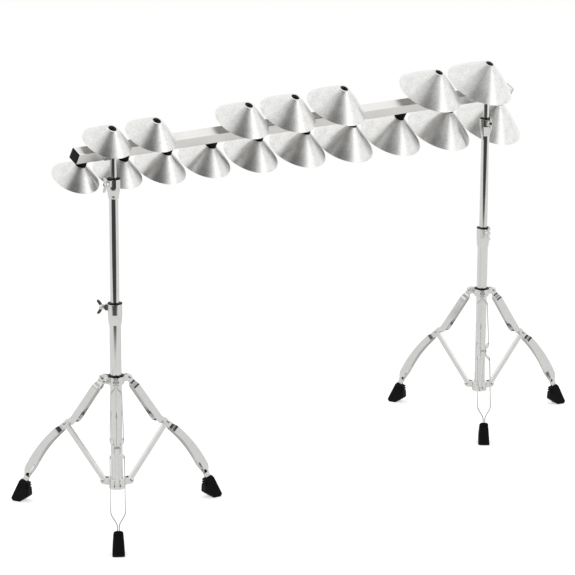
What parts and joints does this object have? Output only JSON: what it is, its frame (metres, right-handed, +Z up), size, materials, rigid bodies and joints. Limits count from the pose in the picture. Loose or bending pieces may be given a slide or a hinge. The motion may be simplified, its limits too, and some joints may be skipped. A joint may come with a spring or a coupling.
{
  "type": "cone-bell metallophone on stands",
  "caption": "Metallophone: turned aluminium cone bells above and below a leaning square bar, on two folding chrome tripod stands with telescoping tubes and wing bolts.",
  "frame": {"origin": "bottom middle of the whole instrument, on the floor", "axes": "+X along the bar towards the largest bell, +Y away from the side shown in the picture, +Z up"},
  "size_m": [1.7782, 0.5274, 1.0103],
  "materials": {
    "chrome": "bright chrome plate on steel",
    "turned_aluminium": "satin, lathe turned",
    "bar_aluminium": "satin extrusion",
    "black_rubber": "matt",
    "black_plastic": "matt"
  },
  "bodies": {
    "bar": {"bar": "bar_aluminium", "bar_cap_left": "black_plastic", "bar_cap_right": "black_plastic", "bell_lower_01": "turned_aluminium", "bell_lower_02": "turned_aluminium", "bell_lower_03": "turned_aluminium", "bell_lower_04": "turned_aluminium", "bell_lower_05": "turned_aluminium", "bell_lower_06": "turned_aluminium", "bell_lower_07": "turned_aluminium", "bell_lower_08": "turned_aluminium", "bell_lower_09": "turned_aluminium", "bell_lower_10": "turned_aluminium", "bell_upper_01": "turned_aluminium", "bell_upper_02": "turned_aluminium", "bell_upper_03": "turned_aluminium", "bell_upper_04": "turned_aluminium", "bell_upper_05": "turned_aluminium", "bell_upper_06": "turned_aluminium", "bell_upper_07": "turned_aluminium", "left_top_tube": "chrome", "right_top_tube": "chrome"},
    "left_middle": {"left_middle_tube": "chrome", "left_top_clamp": "chrome"},
    "left_base": {"left_base_tube": "chrome", "left_middle_clamp": "chrome", "left_lower_collar": "chrome"},
    "left_collar": {"left_upper_collar": "chrome"},
    "left_leg_1": {"left_leg_1": "chrome", "left_foot_1": "black_rubber"},
    "left_brace_1": {"left_brace_1": "chrome"},
    "left_leg_2": {"left_leg_2": "chrome", "left_foot_2": "black_rubber"},
    "left_brace_2": {"left_brace_2": "chrome"},
    "left_leg_3": {"left_leg_3": "chrome", "left_foot_3": "black_rubber"},
    "left_brace_3": {"left_brace_3": "chrome"},
    "left_middle_wing_bolt": {"left_middle_wing_bolt": "chrome"},
    "left_top_wing_bolt": {"left_top_wing_bolt": "chrome"},
    "left_collar_wing_bolt": {"left_collar_wing_bolt": "chrome"},
    "right_middle": {"right_middle_tube": "chrome", "right_top_clamp": "chrome"},
    "right_base": {"right_base_tube": "chrome", "right_middle_clamp": "chrome", "right_lower_collar": "chrome"},
    "right_collar": {"right_upper_collar": "chrome"},
    "right_leg_1": {"right_leg_1": "chrome", "right_foot_1": "black_rubber"},
    "right_brace_1": {"right_brace_1": "chrome"},
    "right_leg_2": {"right_leg_2": "chrome", "right_foot_2": "black_rubber"},
    "right_brace_2": {"right_brace_2": "chrome"},
    "right_leg_3": {"right_leg_3": "chrome", "right_foot_3": "black_rubber"},
    "right_brace_3": {"right_brace_3": "chrome"},
    "right_middle_wing_bolt": {"right_middle_wing_bolt": "chrome"},
    "right_top_wing_bolt": {"right_top_wing_bolt": "chrome"},
    "right_collar_wing_bolt": {"right_collar_wing_bolt": "chrome"}
  },
  "joints": [
    {"name": "left_top_slide", "type": "slide", "parent": "bar", "child": "left_middle", "axis": [0, 0, -1], "range_m": [0, 0.18]},
    {"name": "left_base_slide", "type": "slide", "parent": "left_middle", "child": "left_base", "axis": [0, 0, -1], "range_m": [-0.24, 0.13]},
    {"name": "left_collar_slide", "type": "slide", "parent": "left_base", "child": "left_collar", "axis": [0, 0, 1], "range_m": [0, 0.0717]},
    {"name": "left_leg_1_fold", "type": "hinge", "parent": "left_collar", "child": "left_leg_1", "pos_m": [-0.7158, -0.04804, 0.35099], "axis": [0.7869, -0.617, 0], "range_deg": [0, 29.25]},
    {"name": "left_brace_1_fold", "type": "hinge", "parent": "left_leg_1", "child": "left_brace_1", "pos_m": [-0.78214, -0.13265, 0.21944], "axis": [0.7869, -0.617, 0], "range_deg": [-58.5, 0]},
    {"name": "left_leg_2_fold", "type": "hinge", "parent": "left_collar", "child": "left_leg_2", "pos_m": [-0.65843, -0.02497, 0.35099], "axis": [0.1409, 0.99, 0], "range_deg": [0, 29.25]},
    {"name": "left_brace_2_fold", "type": "hinge", "parent": "left_leg_2", "child": "left_brace_2", "pos_m": [-0.55198, -0.04012, 0.21944], "axis": [0.1409, 0.99, 0], "range_deg": [-58.5, 0]},
    {"name": "left_leg_3_fold", "type": "hinge", "parent": "left_collar", "child": "left_leg_3", "pos_m": [-0.70709, 0.01318, 0.35099], "axis": [-0.9278, -0.373, 0], "range_deg": [0, 29.25]},
    {"name": "left_brace_3_fold", "type": "hinge", "parent": "left_leg_3", "child": "left_brace_3", "pos_m": [-0.74719, 0.11294, 0.21944], "axis": [-0.9278, -0.373, 0], "range_deg": [-58.5, 0]},
    {"name": "left_middle_bolt_turn", "type": "hinge", "parent": "left_base", "child": "left_middle_wing_bolt", "pos_m": [-0.713, -0.00201, 0.5318], "axis": [-0.7314, 0.682, 0], "range_deg": [-360, 360]},
    {"name": "left_top_bolt_turn", "type": "hinge", "parent": "left_middle", "child": "left_top_wing_bolt", "pos_m": [-0.71644, -0.02687, 0.8378], "axis": [-0.9563, -0.2924, 0], "range_deg": [-360, 360]},
    {"name": "left_collar_bolt_turn", "type": "hinge", "parent": "left_collar", "child": "left_collar_wing_bolt", "pos_m": [-0.72229, -0.01593, 0.34999], "axis": [-0.9903, 0.1392, 0], "range_deg": [-360, 360]},
    {"name": "right_top_slide", "type": "slide", "parent": "bar", "child": "right_middle", "axis": [0, 0, -1], "range_m": [0, 0.18]},
    {"name": "right_base_slide", "type": "slide", "parent": "right_middle", "child": "right_base", "axis": [0, 0, -1], "range_m": [-0.24, 0.13]},
    {"name": "right_collar_slide", "type": "slide", "parent": "right_base", "child": "right_collar", "axis": [0, 0, 1], "range_m": [0, 0.0643]},
    {"name": "right_leg_1_fold", "type": "hinge", "parent": "right_collar", "child": "right_leg_1", "pos_m": [0.58143, -0.04562, 0.35958], "axis": [0.7193, -0.6947, 0], "range_deg": [0, 27.22]},
    {"name": "right_brace_1_fold", "type": "hinge", "parent": "right_leg_1", "child": "right_brace_1", "pos_m": [0.51002, -0.11957, 0.22431], "axis": [0.7193, -0.6947, 0], "range_deg": [-54.44, 0]},
    {"name": "right_leg_2_fold", "type": "hinge", "parent": "right_collar", "child": "right_leg_2", "pos_m": [0.64087, -0.02858, 0.35958], "axis": [0.2419, 0.9703, 0], "range_deg": [0, 27.22]},
    {"name": "right_brace_2_fold", "type": "hinge", "parent": "right_leg_2", "child": "right_brace_2", "pos_m": [0.74061, -0.05345, 0.22431], "axis": [0.2419, 0.9703, 0], "range_deg": [-54.44, 0]},
    {"name": "right_leg_3_fold", "type": "hinge", "parent": "right_collar", "child": "right_leg_3", "pos_m": [0.59639, 0.01438, 0.35958], "axis": [-0.9613, -0.2756, 0], "range_deg": [0, 27.22]},
    {"name": "right_brace_3_fold", "type": "hinge", "parent": "right_leg_3", "child": "right_brace_3", "pos_m": [0.56806, 0.11318, 0.22431], "axis": [-0.9613, -0.2756, 0], "range_deg": [-54.44, 0]},
    {"name": "right_middle_bolt_turn", "type": "hinge", "parent": "right_base", "child": "right_middle_wing_bolt", "pos_m": [0.59638, -0.04433, 0.5318], "axis": [-0.3746, -0.9272, 0], "range_deg": [-360, 360]},
    {"name": "right_top_bolt_turn", "type": "hinge", "parent": "right_middle", "child": "right_top_wing_bolt", "pos_m": [0.59621, -0.04142, 0.8378], "axis": [-0.4226, -0.9063, 0], "range_deg": [-360, 360]},
    {"name": "right_collar_bolt_turn", "type": "hinge", "parent": "right_collar", "child": "right_collar_wing_bolt", "pos_m": [0.62623, 0.00077, 0.35858], "axis": [0.6947, 0.7193, 0], "range_deg": [-360, 360]}
  ],
  "couplings": [
    {"joint": "left_collar_slide", "follows": "left_leg_1_fold", "m_per_rad": 0.14008},
    {"joint": "left_brace_1_fold", "follows": "left_leg_1_fold", "ratio": -2},
    {"joint": "left_leg_2_fold", "follows": "left_leg_1_fold", "ratio": 1},
    {"joint": "left_brace_2_fold", "follows": "left_leg_1_fold", "ratio": -2},
    {"joint": "left_leg_3_fold", "follows": "left_leg_1_fold", "ratio": 1},
    {"joint": "left_brace_3_fold", "follows": "left_leg_1_fold", "ratio": -2},
    {"joint": "right_collar_slide", "follows": "right_leg_1_fold", "m_per_rad": 0.13484},
    {"joint": "right_brace_1_fold", "follows": "right_leg_1_fold", "ratio": -2},
    {"joint": "right_leg_2_fold", "follows": "right_leg_1_fold", "ratio": 1},
    {"joint": "right_brace_2_fold", "follows": "right_leg_1_fold", "ratio": -2},
    {"joint": "right_leg_3_fold", "follows": "right_leg_1_fold", "ratio": 1},
    {"joint": "right_brace_3_fold", "follows": "right_leg_1_fold", "ratio": -2}
  ]
}
